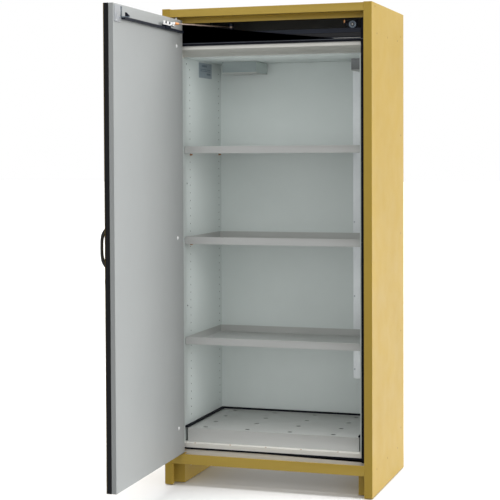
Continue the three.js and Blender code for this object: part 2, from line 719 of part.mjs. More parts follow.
// The arm turns on the post's pin by an eye. Its other end rides just above the carriage's pin.
function closerArm() {
  const carriageEnd = onDoor(CARRIAGE_U, CARRIAGE_V);
  const dx = carriageEnd[0] - ARM_POST[0];
  const dy = carriageEnd[1] - ARM_POST[1];
  const length = Math.hypot(dx, dy);
  const bar = barX(2.5, [6, length - 2], [0, ARM_Z], 12).rotateZ(Math.atan2(dy, dx));
  const postEye = rod(9, [ARM_Z - 3, ARM_Z + 3], ARM_POST, ROUND_SMALL);
  const knob = rod(8, [ARM_Z - 3, ARM_Z + 5], carriageEnd, ROUND_SMALL);
  const postHole = rod(4.1, [ARM_Z - 5, ARM_Z + 5], ARM_POST, ROUND_SMALL);
  return cut(join(bar.translate(...ARM_POST, 0), postEye, knob), postHole);
}

// Two rollers on a foot plate: the arm turns on the pin between them.
function armPost() {
  const [x, y] = ARM_POST;
  const base = LEDGE_TOP + GAP;
  const plate = box([x - 16, x + 16], [y - 12, y + 12], [base, base + 3]);
  const pillar = rod(12, [base + 2, ARM_Z - 4], ARM_POST, ROUND_SMALL);
  const pin = rod(4, [base + 2, ARM_Z + 10], ARM_POST, ROUND_SMALL);
  const cap = rod(12, [ARM_Z + 4, ARM_Z + 13], ARM_POST, ROUND_SMALL);
  return join(plate, pillar, pin, cap);
}

function thermalLink() {
  const [x, y] = ARM_POST;
  const base = LEDGE_TOP + GAP;
  const strip = box([x + 22, x + 62], [y - 5, y + 5], [base, base + 2]);
  const stud = rod(4, [base + 1, base + 7], [x + 30, y], 12);
  const other = rod(4, [base + 1, base + 7], [x + 54, y], 12);
  return join(strip, stud, other);
}

// ---- catch at the free side of the head compartment
function catchPlate() {
  const [x, z] = CATCH;
  const wide = [x - 22, x + 18];
  const foot = box(wide, [104, 136], [LEDGE_TOP + GAP, LEDGE_TOP + 3]);
  const upright = box(wide, [104, 107], [LEDGE_TOP + GAP, z + 16]);
  const stud = barY(5, [90, 105], [x, z], ROUND_SMALL);
  return join(foot, upright, stud);
}

// A lever with a finger above the bumper's path and a small upright tab at the finger's end.
function catchLever() {
  const [x, z] = CATCH;
  const arm = box([x - 29, x + 8], [99, 102], [z - 5, z + 11]);
  const finger = box([x - 29, x - 24], [66, 102], [z + 4, z + 7]);
  const tab = box([x - 29, x - 24], [66, 69], [z + 4, z + 16]);
  const hole = barY(5.1, [95, 105], [x, z], ROUND_SMALL);
  return cut(join(arm, finger, tab), hole);
}

function catchDisc() {
  const [x, z] = CATCH;
  const disc = barY(15, [92, 97], [x, z], ROUND);
  const hole = barY(5.2, [90, 99], [x, z], ROUND_SMALL);
  return cut(disc, hole);
}

function addMechanism() {
  addOnDoor("rail_carriage", carriage(), ZINC);
  add("closer_arm", closerArm(), STEEL);
  add("arm_post", armPost(), BLACK);
  add("thermal_link", thermalLink(), COPPER);
  add("catch_plate", catchPlate(), STEEL);
  add("catch_lever", catchLever(), COPPER);
  add("catch_disc", catchDisc(), ZINC);
}

addShell();
addFeet();
addCarcass();
addHead();
add("door_seal", doorSeal(), BLACK);
addShelves();
addSump();
addVentilation();
addDoor();
addMechanism();
const label = box([-WALL_INNER + GAP, -WALL_INNER + 1.2], LABEL_Y, LABEL_Z);
add("label_plate", label, CLEAR);

// The origin moves to the middle of the footprint, open door included.
const footprint = new THREE.Box3().setFromObject(cabinet);
cabinet.position.y = -middle([footprint.min.y, footprint.max.y]);

export default cabinet;
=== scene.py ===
"""Looks for the flammable storage cabinet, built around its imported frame.

Metres, +Z up, the front faces -Y. Sizes written in millimetres are turned into metres by MM.
FRONT is the plane of the cabinet's front flanges, so y positions read as depth behind it.
"""

import json
import math

import bmesh
import bpy
from mathutils import Matrix, Vector


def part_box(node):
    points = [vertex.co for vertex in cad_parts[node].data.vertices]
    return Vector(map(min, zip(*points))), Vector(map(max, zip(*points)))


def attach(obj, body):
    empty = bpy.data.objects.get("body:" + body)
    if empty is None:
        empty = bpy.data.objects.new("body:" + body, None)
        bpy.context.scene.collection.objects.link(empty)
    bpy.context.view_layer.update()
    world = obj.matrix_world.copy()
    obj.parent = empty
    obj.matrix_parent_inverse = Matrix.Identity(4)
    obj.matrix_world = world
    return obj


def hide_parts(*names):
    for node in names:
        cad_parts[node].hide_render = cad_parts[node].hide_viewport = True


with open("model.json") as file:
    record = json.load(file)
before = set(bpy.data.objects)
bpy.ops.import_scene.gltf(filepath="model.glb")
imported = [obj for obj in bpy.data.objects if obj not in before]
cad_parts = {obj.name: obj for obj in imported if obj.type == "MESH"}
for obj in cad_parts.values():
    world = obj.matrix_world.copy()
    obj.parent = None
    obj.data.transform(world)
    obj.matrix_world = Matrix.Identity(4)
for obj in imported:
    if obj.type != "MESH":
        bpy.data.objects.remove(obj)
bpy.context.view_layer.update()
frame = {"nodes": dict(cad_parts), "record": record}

MM = 0.001
BODY_OF = {node: body for body, nodes in frame["record"]["behaviour"]["bodies"].items() for node in nodes}
SLOT_OF = {part["node"]: part["material_slot"] for part in frame["record"]["subparts"]}
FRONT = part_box("side_panel_right")[0].y
SIDES = (("left", -1), ("right", 1))
PIVOT = (-380, 17)  # the door's axis: x from the centre plane, depth behind the front plane
DOOR_TURN = math.radians(1.5)  # the open door stops this far short of square
DOOR_INNER = 24  # from the axis to the inner panel's face
DOOR_ALONG = Vector((math.sin(DOOR_TURN), -math.cos(DOOR_TURN), 0))
DOOR_OUT = Vector((math.cos(DOOR_TURN), math.sin(DOOR_TURN), 0))


def spot(x, depth, z):
    """A point from millimetres: x from the centre plane, depth behind the front plane, height."""
    return Vector((x * MM, FRONT + depth * MM, z * MM))


def on_door(along, out, z):
    """A point on the open door: along it from its pivot axis, out from the axis towards its inner side."""
    return spot(*PIVOT, z) + (DOOR_ALONG * along + DOOR_OUT * out) * MM


# ---------------------------------------------------------------- materials
def node(tree, kind, **values):
    made = tree.nodes.new(kind)
    for name, value in values.items():
        made.inputs[name.replace("_", " ")].default_value = value
    return made


def noise(tree, vector, scale, detail=3.0):
    made = node(tree, "ShaderNodeTexNoise", Scale=scale, Detail=detail)
    tree.links.new(vector, made.inputs["Vector"])
    return made.outputs["Fac"]


def spread(tree, value, low, high, start=0.3, end=0.7):
    """Maps a noise value onto the range low to high."""
    made = node(tree, "ShaderNodeMapRange", From_Min=start, From_Max=end, To_Min=low, To_Max=high)
    tree.links.new(value, made.inputs["Value"])
    return made.outputs["Result"]


def blend(tree, share, a, b):
    """A colour between a and b, each a socket or a colour."""
    made = tree.nodes.new("ShaderNodeMix")
    made.data_type = "RGBA"
    sockets = [s for s in made.inputs if s.type == "RGBA"]
    for socket, value in zip(sockets, (a, b)):
        if isinstance(value, tuple):
            socket.default_value = (*value, 1.0)
        else:
            tree.links.new(value, socket)
    tree.links.new(share, made.inputs["Factor"])
    return [s for s in made.outputs if s.type == "RGBA"][0]


def surface(name, dark, light, rough, mottle=12.0, grain=900.0, bump=0.05, depth=0.2, stretch=(1, 1, 1),
            metallic=0.0, specular=0.5, edge=None, spangle=None, transmission=0.0):
    """A material whose colour drifts between two tones, with its own grain in the bump and roughness.

    edge is a lighter tone laid onto convex edges as a painted highlight, spangle the scale of the zinc
    crystals.
    """
    material = bpy.data.materials.new(name)
    material.use_nodes = True
    tree = material.node_tree
    shader = tree.nodes["Principled BSDF"]
    place = tree.nodes.new("ShaderNodeTexCoord")
    mapping = node(tree, "ShaderNodeMapping", Scale=stretch)
    tree.links.new(place.outputs["Object"], mapping.inputs["Vector"])
    vector = mapping.outputs["Vector"]
    broad = noise(tree, vector, mottle, 4.0)
    fine = noise(tree, vector, grain, 2.0)
    colour = blend(tree, spread(tree, broad, 0, 1), dark, light)
    height = fine
    if spangle:
        cells = node(tree, "ShaderNodeTexVoronoi", Scale=spangle)
        tree.links.new(vector, cells.inputs["Vector"])
        split = tree.nodes.new("ShaderNodeSeparateColor")
        tree.links.new(cells.outputs["Color"], split.inputs["Color"])
        colour = blend(tree, spread(tree, split.outputs["Red"], 0.0, 0.45, 0, 1), colour, dark)
    # painted highlight: convex edges, found by pointiness, blend towards the lighter edge tone
    if edge:
        edge_highlight_mask = tree.nodes.new("ShaderNodeNewGeometry").outputs["Pointiness"]
        colour = blend(tree, spread(tree, edge_highlight_mask, 0, 0.5, 0.53, 0.62), colour, edge)
    tree.links.new(colour, shader.inputs["Base Color"])
    roughness = spread(tree, noise(tree, vector, mottle * 4), rough[0], rough[1])
    tree.links.new(roughness, shader.inputs["Roughness"])
    relief = node(tree, "ShaderNodeBump", Strength=bump, Distance=depth * MM)
    tree.links.new(height, relief.inputs["Height"])
    tree.links.new(relief.outputs["Normal"], shader.inputs["Normal"])
    shader.inputs["Metallic"].default_value = metallic
    shader.inputs["Specular IOR Level"].default_value = specular
    shader.inputs["Transmission Weight"].default_value = transmission
    return material


LOOKS = {
    "yellow_paint": surface("powder_coat_yellow", (0.43, 0.282, 0.036), (0.465, 0.306, 0.040),
                            (0.42, 0.5), mottle=3, grain=700, bump=0.2, depth=0.12, specular=0.3,
                            edge=(0.60, 0.43, 0.10)),
    "light_grey_panel": surface("door_liner_grey", (0.33, 0.344, 0.344), (0.35, 0.364, 0.362),
                                (0.42, 0.52), mottle=2.5, grain=900, bump=0.1, depth=0.08, specular=0.3,
                                edge=(0.58, 0.59, 0.58)),
    "lining_grey": surface("melamine_grey", (0.62, 0.67, 0.655), (0.66, 0.71, 0.695), (0.4, 0.5),
                           mottle=4, grain=600, bump=0.12, depth=0.08, specular=0.3),
    "board_edge": surface("mineral_board", (0.80, 0.79, 0.74), (0.85, 0.84, 0.79), (0.55, 0.7),
                          mottle=9, grain=300, bump=0.12, depth=0.1, specular=0.3),
    "shelf_grey": surface("shelf_powder_coat", (0.40, 0.41, 0.395), (0.43, 0.44, 0.425), (0.34, 0.44),
                          mottle=5, grain=800, bump=0.12, depth=0.08, specular=0.4,
                          edge=(0.66, 0.67, 0.66)),
    "black_core": surface("black_edge_profile", (0.004, 0.004, 0.005), (0.007, 0.007, 0.008),
                          (0.5, 0.62), mottle=15, grain=1200, bump=0.12, depth=0.08,
                          stretch=(1, 1, 0.05), specular=0.15),
    "black_rubber": surface("black_seal_rubber", (0.002, 0.003, 0.007), (0.004, 0.005, 0.010),
                            (0.6, 0.75), mottle=25, grain=1500, bump=0.2, depth=0.08, specular=0.12),
    "black_metal": surface("navy_black_sheet", (0.003, 0.005, 0.012), (0.006, 0.009, 0.019), (0.4, 0.5),
                           mottle=6, grain=900, bump=0.12, depth=0.08, specular=0.2,
                           edge=(0.03, 0.035, 0.05)),
    "dark_grey": surface("dark_grey_sheet", (0.085, 0.087, 0.082), (0.12, 0.122, 0.115), (0.35, 0.5),
                         mottle=3, grain=900, bump=0.12, depth=0.08, specular=0.3,
                         edge=(0.10, 0.10, 0.10)),
    "black_plastic": surface("handle_black", (0.006, 0.006, 0.006), (0.012, 0.011, 0.011), (0.28, 0.38),
                             mottle=40, grain=1500, bump=0.15, depth=0.05, specular=0.3),
    "zinc": surface("zinc_plate", (0.42, 0.46, 0.50), (0.56, 0.60, 0.64), (0.25, 0.4), mottle=60,
                    grain=1500, bump=0.1, depth=0.05, metallic=0.8, spangle=220),
    "steel": surface("bright_steel", (0.42, 0.43, 0.44), (0.56, 0.57, 0.58), (0.2, 0.34), mottle=40,
                     grain=900, bump=0.12, depth=0.05, metallic=1.0, stretch=(1, 1, 0.1)),
    "duct_metal": surface("galvanised_duct", (0.74, 0.77, 0.79), (0.82, 0.85, 0.86), (0.3, 0.42),
                          mottle=9, grain=900, bump=0.1, depth=0.05, metallic=0.15, spangle=70),
    "copper": surface("copper_passivated", (0.38, 0.17, 0.07), (0.52, 0.26, 0.12), (0.25, 0.4),
                      mottle=90, grain=1500, bump=0.1, depth=0.05, metallic=0.9),
    "clear_plastic": surface("milky_plastic", (0.50, 0.52, 0.55), (0.56, 0.58, 0.61), (0.2, 0.3),
                             mottle=10, grain=900, bump=0.08, depth=0.05, transmission=0.35),
}
# painted shade: darker tones for the front- and left-facing faces of the two hoods
HOOD_FRONT_SHADE = surface("hood_front_painted_shade", (0.20, 0.245, 0.245), (0.24, 0.285, 0.285), (0.35, 0.45),
                     mottle=8, grain=900, bump=0.12, depth=0.08, edge=(0.42, 0.46, 0.46))
EXHAUST_FRONT_SHADE = surface("exhaust_front_painted_shade", (0.12, 0.125, 0.128), (0.15, 0.155, 0.16), (0.35, 0.45),
                        mottle=8, grain=900, bump=0.12, depth=0.08, edge=(0.3, 0.31, 0.32))
HOOD_CLEAR = surface("hood_clear_plastic", (0.52, 0.60, 0.58), (0.58, 0.65, 0.63), (0.15, 0.25),
                     mottle=8, grain=900, bump=0.08, depth=0.05, transmission=0.25)
# painted shade: a near-black tone for the walls of holes and slots and for the sump floor under the insert
PAINTED_HOLE_SHADE = surface("painted_hole_shade", (0.020, 0.018, 0.016), (0.035, 0.032, 0.028), (0.8, 0.9),
                    mottle=300, grain=1500, bump=0.3, depth=0.1, specular=0.1)
BLUE_ZINC = surface("blue_passivated_zinc", (0.13, 0.165, 0.20), (0.19, 0.23, 0.27), (0.3, 0.4),
                    mottle=60, grain=1500, bump=0.1, depth=0.05, metallic=0.5, spangle=220)
FASCIA = surface("fascia_dark_grey", (0.012, 0.012, 0.014), (0.020, 0.020, 0.023), (0.45, 0.55),
                 mottle=5, grain=1200, bump=0.15, depth=0.08, specular=0.25)
WHITE_CAP = surface("white_cap_plastic", (0.82, 0.83, 0.83), (0.88, 0.88, 0.88), (0.2, 0.3), mottle=60,
                    grain=1500, bump=0.05, depth=0.05)
SEAL_GREY = surface("seal_grey_lip", (0.10, 0.11, 0.13), (0.14, 0.15, 0.17), (0.45, 0.6), mottle=30,
                    grain=1500, bump=0.1, depth=0.05, specular=0.2)
DARK_SCREW = surface("yellow_zinc_screw", (0.16, 0.105, 0.02), (0.24, 0.155, 0.03), (0.35, 0.5),
                     mottle=200, grain=1500, bump=0.1, depth=0.05, metallic=0.5)
ORANGE = surface("orange_ferrule", (0.62, 0.24, 0.05), (0.72, 0.31, 0.08), (0.3, 0.4), mottle=200,
                 grain=1500, bump=0.1, depth=0.05)
ROD = surface("rod_brown_steel", (0.20, 0.15, 0.125), (0.30, 0.24, 0.21), (0.28, 0.4), mottle=60,
              grain=1500, bump=0.1, depth=0.05, metallic=0.85)
LABEL = surface("blank_label", (0.26, 0.31, 0.35), (0.30, 0.35, 0.39), (0.35, 0.5), mottle=60,
                grain=1500, bump=0.05, depth=0.05)
LABEL_BAR = surface("label_bar", (0.11, 0.14, 0.17), (0.15, 0.18, 0.21), (0.35, 0.5), mottle=60,
                    grain=1500, bump=0.05, depth=0.05)


# ---------------------------------------------------------------- mesh building
def closed(bm, verts, faces, index=0):
    """Adds one body from its corners and the corner numbers of each face."""
    made = [bm.verts.new(v) for v in verts]
    for corners in faces:
        bm.faces.new([made[i] for i in corners]).material_index = index


def add_bar(bm, low, high, index=0):
    """A box between two corners, for use as one body of a larger piece."""
    x, y, z = zip(low, high)
    verts = [(x[i], y[j], z[k]) for i in (0, 1) for j in (0, 1) for k in (0, 1)]
    faces = [(0, 1, 3, 2), (4, 6, 7, 5), (0, 4, 5, 1), (2, 3, 7, 6), (0, 2, 6, 4), (1, 5, 7, 3)]
    closed(bm, verts, faces, index)


def add_turned(bm, profile, centre, axis, segments=20, index=0):
    """A profile of (radius, height) in mm, turned about an axis through centre.

    Ends on the axis close the body.
    """
    turn = Vector((0, 0, 1)).rotation_difference(Vector(axis)).to_matrix()
    rings = []
    for radius, height in profile:
        if radius < 1e-6:
            rings.append([bm.verts.new(centre + turn @ Vector((0, 0, height * MM)))])
            continue
        ring = []
        for i in range(segments):
            angle = 2 * math.pi * i / segments
            at = Vector((radius * math.cos(angle), radius * math.sin(angle), height)) * MM
            ring.append(bm.verts.new(centre + turn @ at))
        rings.append(ring)
    for a, b in zip(rings, rings[1:]):
        for i in range(segments):
            j = (i + 1) % segments
            corners = [a[i % len(a)], a[j % len(a)], b[j % len(b)], b[i % len(b)]]
            corners = [v for k, v in enumerate(corners) if v not in corners[:k]]
            if len(corners) > 2:
                bm.faces.new(corners).material_index = index


def add_prism(bm, outline, low, high, axis=0, index=0):
    """An outline in mm drawn out along one axis between two heights in mm.

    The outline's two numbers are the other two axes in order, in the frame's millimetres.
    """
    others = [i for i in range(3) if i != axis]
    ends = []
    for height in (low, high):
        ring = []
        for a, b in outline:
            co = [0, 0, 0]
            co[axis], co[others[0]], co[others[1]] = height * MM, a * MM, b * MM
            ring.append(bm.verts.new(co))
        ends.append(ring)
    count = len(outline)
    bm.faces.new(ends[0]).material_index = index
    bm.faces.new(list(reversed(ends[1]))).material_index = index
    for i in range(count):
        j = (i + 1) % count
        bm.faces.new([ends[0][i], ends[1][i], ends[1][j], ends[0][j]]).material_index = index


def make_object(name, bm, materials):
    bmesh.ops.recalc_face_normals(bm, faces=bm.faces)
    mesh = bpy.data.meshes.new(name)
    bm.to_mesh(mesh)
    bm.free()
    for material in materials:
        mesh.materials.append(material)
    made = bpy.data.objects.new(name, mesh)
    bpy.context.scene.collection.objects.link(made)
    return made


def apply_modifiers(piece):
    graph = bpy.context.evaluated_depsgraph_get()
    mesh = bpy.data.meshes.new_from_object(piece.evaluated_get(graph))
    piece.modifiers.clear()
    piece.data = mesh


BEVEL_ANGLE = 30
SHARP_ANGLE = 35


def round_edges(piece, width, segments=2):
    """Rounds the edges sharper than BEVEL_ANGLE, and shades smoothly up to SHARP_ANGLE."""
    if width:
        bevel = piece.modifiers.new("edges", "BEVEL")
        bevel.width = width * MM
        bevel.segments = segments
        bevel.limit_method = "ANGLE"
        bevel.angle_limit = math.radians(BEVEL_ANGLE)
        bevel.use_clamp_overlap = True
        bevel.harden_normals = False
        apply_modifiers(piece)
    piece.data.shade_smooth()
    piece.data.set_sharp_from_angle(angle=math.radians(SHARP_ANGLE))
    weigh = piece.modifiers.new("normals", "WEIGHTED_NORMAL")
    weigh.keep_sharp = True
    weigh.weight = 100
    apply_modifiers(piece)
    return piece


def subtract(piece, cutter):
    """Cuts one body of tools out of the piece. The cut faces keep the tools' material."""
    cut = piece.modifiers.new("cut", "BOOLEAN")
    cut.operation = "DIFFERENCE"
    cut.solver = "EXACT"
    cut.material_mode = "TRANSFER"
    cut.object = cutter
    apply_modifiers(piece)
    bpy.data.objects.remove(cutter)
    return piece


def place(piece, body, slot, *replaced):
    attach(piece, body)
    if replaced:
        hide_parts(*replaced)
    return piece


def detail(name, bm, materials, body, slot, width=0.3, replaced=()):
    """Finishes a hand-built piece and hands it to its body."""
    piece = round_edges(make_object(name, bm, materials), width)
    return place(piece, body, slot, *replaced)


def copy_of(cad_node, name):
    """A clean copy of a CAD node's mesh, with its flat faces whole."""
    bm = bmesh.new()
    bm.from_mesh(frame["nodes"][cad_node].data)
    bmesh.ops.remove_doubles(bm, verts=bm.verts, dist=1e-6)
    bmesh.ops.dissolve_limit(bm, angle_limit=math.radians(0.5), verts=bm.verts, edges=bm.edges)
    for face in bm.faces:
        face.material_index = 0
    return make_object(name, bm, [LOOKS[SLOT_OF[cad_node]]])


def finish_node(cad_node, width, tools=None, material=None, segments=2):
    """Replaces a CAD node by a copy with rounded edges, cut by tools, in the node's own finish."""
    piece = copy_of(cad_node, f"{cad_node}_finished")
    if material:
        piece.data.materials[0] = material
    round_edges(piece, width, segments)
    if tools:
        subtract(piece, tools)
        round_edges(piece, 0)
    return place(piece, BODY_OF[cad_node], SLOT_OF[cad_node], cad_node)


def recolour(piece, material, chosen):
    """Gives the faces picked by chosen(face) another material."""
    piece.data.materials.append(material)
    index = len(piece.data.materials) - 1
    for face in piece.data.polygons:
        if chosen(face):
            face.material_index = index


# ---------------------------------------------------------------- outer shell
# depth behind the front plane and height of each screw in a side panel
SIDE_SCREWS = [(60, 1933), (96, 1829), (294, 1827), (493, 1827), (82, 105), (286, 108), (488, 110)]
SIDE_SCREWS += [(558, z) for z in (1849, 1432, 1016, 601, 185)]
SCREW_SINK = 1.25
PLINTH_SCREW_Z = 62
PLINTH_SCREW_DEPTHS = (130, 330, 540)
BACK_SCREW_ROWS = [180 + 320 * i for i in range(6)]
BACK_SCREW_X = (-410, 410)
BACK_END_ROWS = (145, 1925)
BACK_END_X = (-205, 0, 205)


def sink_tools(name, points, axis):
    """Countersinks for a 1.5 mm sheet. Each point lies on the sheet's outer face, axis points outwards."""
    bm = bmesh.new()
    profile = [(0, 0.5), (5.4, 0.5), (5.2, 0), (3.6, -SCREW_SINK), (0, -SCREW_SINK)]
    for point in points:
        add_turned(bm, profile, point, axis, 16)
    return make_object(name, bm, [LOOKS["yellow_paint"]])


def screw_heads(name, points, axis, body, material=None, slot="steel"):
    """Countersunk heads with a socket, a little below the sheet's face."""
    bm = bmesh.new()
    profile = [(0, -1.1), (1.9, -1.1), (2.1, -0.3), (3.9, -0.3), (4.4, -0.45), (3.3, -1.2), (0, -1.2)]
    for point in points:
        add_turned(bm, profile, point, axis, 16)
    return detail(name, bm, [material or DARK_SCREW], body, slot, width=0)


def build_shell():
    for label, side in SIDES:
        cad_node = f"side_panel_{label}"
        low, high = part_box(cad_node)
        face = high.x if side > 0 else low.x
        points = [Vector((face, FRONT + depth * MM, z * MM)) for depth, z in SIDE_SCREWS]
        finish_node(cad_node, 0.7, sink_tools("side_tools", points, (side, 0, 0)), segments=3)
        screw_heads(f"side_screws_{label}", points, (side, 0, 0), "cabinet")
        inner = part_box(f"plinth_{label}")
        plate = inner[1].x if side < 0 else inner[0].x
        spots = [Vector((plate, FRONT + depth * MM, PLINTH_SCREW_Z * MM)) for depth in PLINTH_SCREW_DEPTHS]
        finish_node(f"plinth_{label}", 0.5, sink_tools("plinth_tools", spots, (-side, 0, 0)))
        screw_heads(f"plinth_screws_{label}", spots, (-side, 0, 0), "cabinet", LOOKS["zinc"], "zinc")
    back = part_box("back_panel")
    places = [(x, z) for z in BACK_SCREW_ROWS for x in BACK_SCREW_X]
    places += [(x, z) for z in BACK_END_ROWS for x in BACK_END_X]
    points = [Vector((x * MM, back[1].y, z * MM)) for x, z in places]
    finish_node("back_panel", 0.4, sink_tools("back_tools", points, (0, 1, 0)))
    screw_heads("back_screws", points, (0, 1, 0), "cabinet")
    finish_node("roof_panel", 0.4)
    finish_node("head_rail", 0.6, segments=3)
    finish_node("base_rail", 0.6, segments=3)
    for corner in ("front_left", "rear_left", "front_right", "rear_right"):
        finish_node(f"levelling_foot_{corner}", 0.8)


# ---------------------------------------------------------------- carcass, lining and seals
HOLE_COLUMNS = (160, 535)
HOLE_COUNT = 46
HOLE_PITCH = 32
HOLE_LOWEST = 268
SMALL_HOLE_RADIUS = 2.6
LARGE_HOLE_RADIUS = 3.6
LARGE_HOLES = [(121, 1731), (121, 1236), (121, 728)]
SEAL_LIP_BOTTOM = 1806.5
SEAL_LIP_TOP = 1808.2
FLOOR_SCREW_X = (-322, -170, -19, 129, 281)
FLOOR_SCREW_DEPTH = 57


def hole_tools(side):
    """Rows of blind holes for the shelf pins, and a few larger ones near the front, whose cut walls take a
    near-black painted shade.
    """
    bm = bmesh.new()
    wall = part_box(f"lining_{'left' if side < 0 else 'right'}")
    face = wall[1].x if side < 0 else wall[0].x
    small = [(depth, HOLE_LOWEST + HOLE_PITCH * i) for depth in HOLE_COLUMNS for i in range(HOLE_COUNT)]
    for spots, radius in ((small, SMALL_HOLE_RADIUS), (LARGE_HOLES, LARGE_HOLE_RADIUS)):
        for depth, z in spots:
            at = Vector((face, FRONT + depth * MM, z * MM))
            add_turned(bm, [(0, 1), (radius, 1), (radius, -3.8), (0, -3.8)], at, (-side, 0, 0), 10)
    return make_object("hole_tools", bm, [PAINTED_HOLE_SHADE])


def build_carcass():
    for label, side in SIDES:
        finish_node(f"lining_{label}", 0.2, hole_tools(side))
        finish_node(f"insulation_{label}", 1.0)
    for cad_node in ("insulation_top", "insulation_back", "floor_board"):
        finish_node(cad_node, 0.8)
    for cad_node in ("lining_top", "lining_back"):
        finish_node(cad_node, 0.2)
    low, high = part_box("door_seal")
    bm = bmesh.new()
    start = (low.x + MM, low.y - 1.2 * MM, SEAL_LIP_BOTTOM * MM)
    add_bar(bm, start, (high.x - MM, low.y + MM, SEAL_LIP_TOP * MM))
    detail("seal_lip", bm, [SEAL_GREY], "cabinet", "black_rubber", 0.3)
    finish_node("door_seal", 1.2, segments=3)
    bm = bmesh.new()
    floor_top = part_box("floor_board")[1].z
    head = [(0, 0.0), (3.4, 0.0), (3.2, 0.9), (1.8, 1.3), (0, 1.3)]
    for x in FLOOR_SCREW_X:
        add_turned(bm, head, spot(x, FLOOR_SCREW_DEPTH, floor_top / MM), (0, 0, 1))
    detail("floor_screws", bm, [LOOKS["copper"]], "cabinet", "copper", 0)


# ---------------------------------------------------------------- head compartment
STRIP_BOTTOM = 1817
STRIP_TOP = 1834.5
STRIP_JOINT = -210  # where the ledge strip is divided


def build_head():
    finish_node("head_ledge", 0.5, segments=3)
    finish_node("head_back_plate", 0.4)
    finish_node("head_side_cover", 0.6)
    low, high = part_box("head_ledge")
    face = low.y / MM
    strip = [(face - 0.2, STRIP_BOTTOM), (face - 2.6, STRIP_BOTTOM + 1), (face - 2.6, STRIP_TOP - 1.5)]
    strip += [(face - 1.6, STRIP_TOP), (face - 0.2, STRIP_TOP)]
    bm = bmesh.new()
    for x0, x1 in ((low.x / MM + 2, STRIP_JOINT - 0.6), (STRIP_JOINT + 0.6, high.x / MM - 2)):
        add_prism(bm, strip, x0, x1)
    detail("ledge_strip", bm, [FASCIA], "cabinet", "dark_grey", 0.3)
    lip = [(face - 0.2, 1813.2), (face - 1.4, 1813.2), (face - 1.4, 1814.6), (face - 0.2, 1814.6)]
    bm = bmesh.new()
    add_prism(bm, lip, low.x / MM + 2, high.x / MM - 2)
    detail("ledge_lip", bm, [SEAL_GREY], "cabinet", "dark_grey", 0.2)


# ---------------------------------------------------------------- inside
PIN_DROP = 4.6  # from a shelf's underside to the axis of its pins
PIN_PROFILE = [(0, -3.2), (2.4, -3.2), (2.4, 0.1), (4.4, 0.1), (4.4, 1.6), (3.2, 1.8), (3.2, 9.5),
               (2.4, 10.5), (0, 10.5)]


def build_shelves():
    for label in ("lower", "middle", "upper"):
        cad_node = f"tray_shelf_{label}"
        finish_node(cad_node, 0.6, segments=3)
        low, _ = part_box(cad_node)
        bm = bmesh.new()
        for side_label, side in SIDES:
            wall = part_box(f"lining_{side_label}")
            face = wall[1].x if side < 0 else wall[0].x
            for depth in HOLE_COLUMNS:
                at = Vector((face, FRONT + depth * MM, low.z - PIN_DROP * MM))
                add_turned(bm, PIN_PROFILE, at, (-side, 0, 0))
        detail(f"shelf_pins_{label}", bm, [LOOKS["copper"]], "cabinet", "copper", 0)


def build_sump():
    sump = finish_node("sump", 0.6, segments=3)
    insert_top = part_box("sump_insert")[1].z
    # painted shade: the sump's upward faces below the insert, seen through its holes, are made near-black
    recolour(sump, PAINTED_HOLE_SHADE, lambda face: face.normal.z > 0.9 and face.center.z < insert_top - 10 * MM)
    finish_node("sump_insert", 0.3)
    finish_node("sump_seal", 1.5, segments=3)


DUCT_SCREW_HEIGHTS = (1062, 742, 426)


def build_ventilation():
    for label, front in (("supply", HOOD_FRONT_SHADE), ("exhaust", EXHAUST_FRONT_SHADE)):
        hood = finish_node(f"{label}_hood", 0.6, segments=3)
        # painted shade: the front- and left-facing faces take the darker tone, the rest keeps the hood's
        # lighter finish
        recolour(hood, front, lambda face: face.normal.y < -0.9 or face.normal.x < -0.9)
        finish_node(f"{label}_collar", 0.3)
        finish_node(f"{label}_damper", 0.3)
    low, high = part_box("supply_hood")
    bm = bmesh.new()
    x0 = high.x / MM - 1.4
    y0, y1 = low.y / MM, high.y / MM
    z0, z1 = low.z / MM, high.z / MM
    outline = [(y0 + 2, z1 - 1), (y0 + 2, z0 + 5), (y0 + 5, z0 + 2), (y1 - 2, z0 + 2), (y1 - 2, z1 - 1)]
    add_prism(bm, outline, x0, x0 + 1.2)
    detail("supply_hood_window", bm, [HOOD_CLEAR], "cabinet", "clear_plastic", 0.2)
    finish_node("air_duct", 0.5, segments=3)
    low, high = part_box("air_duct")
    bm = bmesh.new()
    for z in DUCT_SCREW_HEIGHTS:
        at = Vector((low.x + 6 * MM, high.y - 3 * MM, z * MM))
        add_turned(bm, [(0, 0.05), (3.6, 0.05), (3.4, 1.2), (2.0, 1.9), (0, 2.1)], at, (0, -1, 0))
    detail("duct_screws", bm, [LOOKS["zinc"]], "cabinet", "zinc", 0)


# how far down the label each blank bar starts, how tall it is, and the shares of the width it spans
LABEL_BARS = ((8, 9, 0.22, 0.62), (26, 3, 0.1, 0.9), (33, 3, 0.1, 0.9), (42, 8, 0.6, 0.9))


def build_label():
    low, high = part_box("label_plate")
    finish_node("label_plate", 0.2, material=LABEL)
    bm = bmesh.new()
    x0, x1 = high.x - 0.02 * MM, high.x + 0.12 * MM
    wide = high.y - low.y
    for top, tall, start, end in LABEL_BARS:
        z1 = high.z - top * MM
        add_bar(bm, (x0, low.y + wide * start, z1 - tall * MM), (x1, low.y + wide * end, z1))
    detail("label_bars", bm, [LABEL_BAR], "cabinet", "clear_plastic", 0)


# ---------------------------------------------------------------- door
CAPS = [(67, 1793), (67, 1019), (67, 245)]


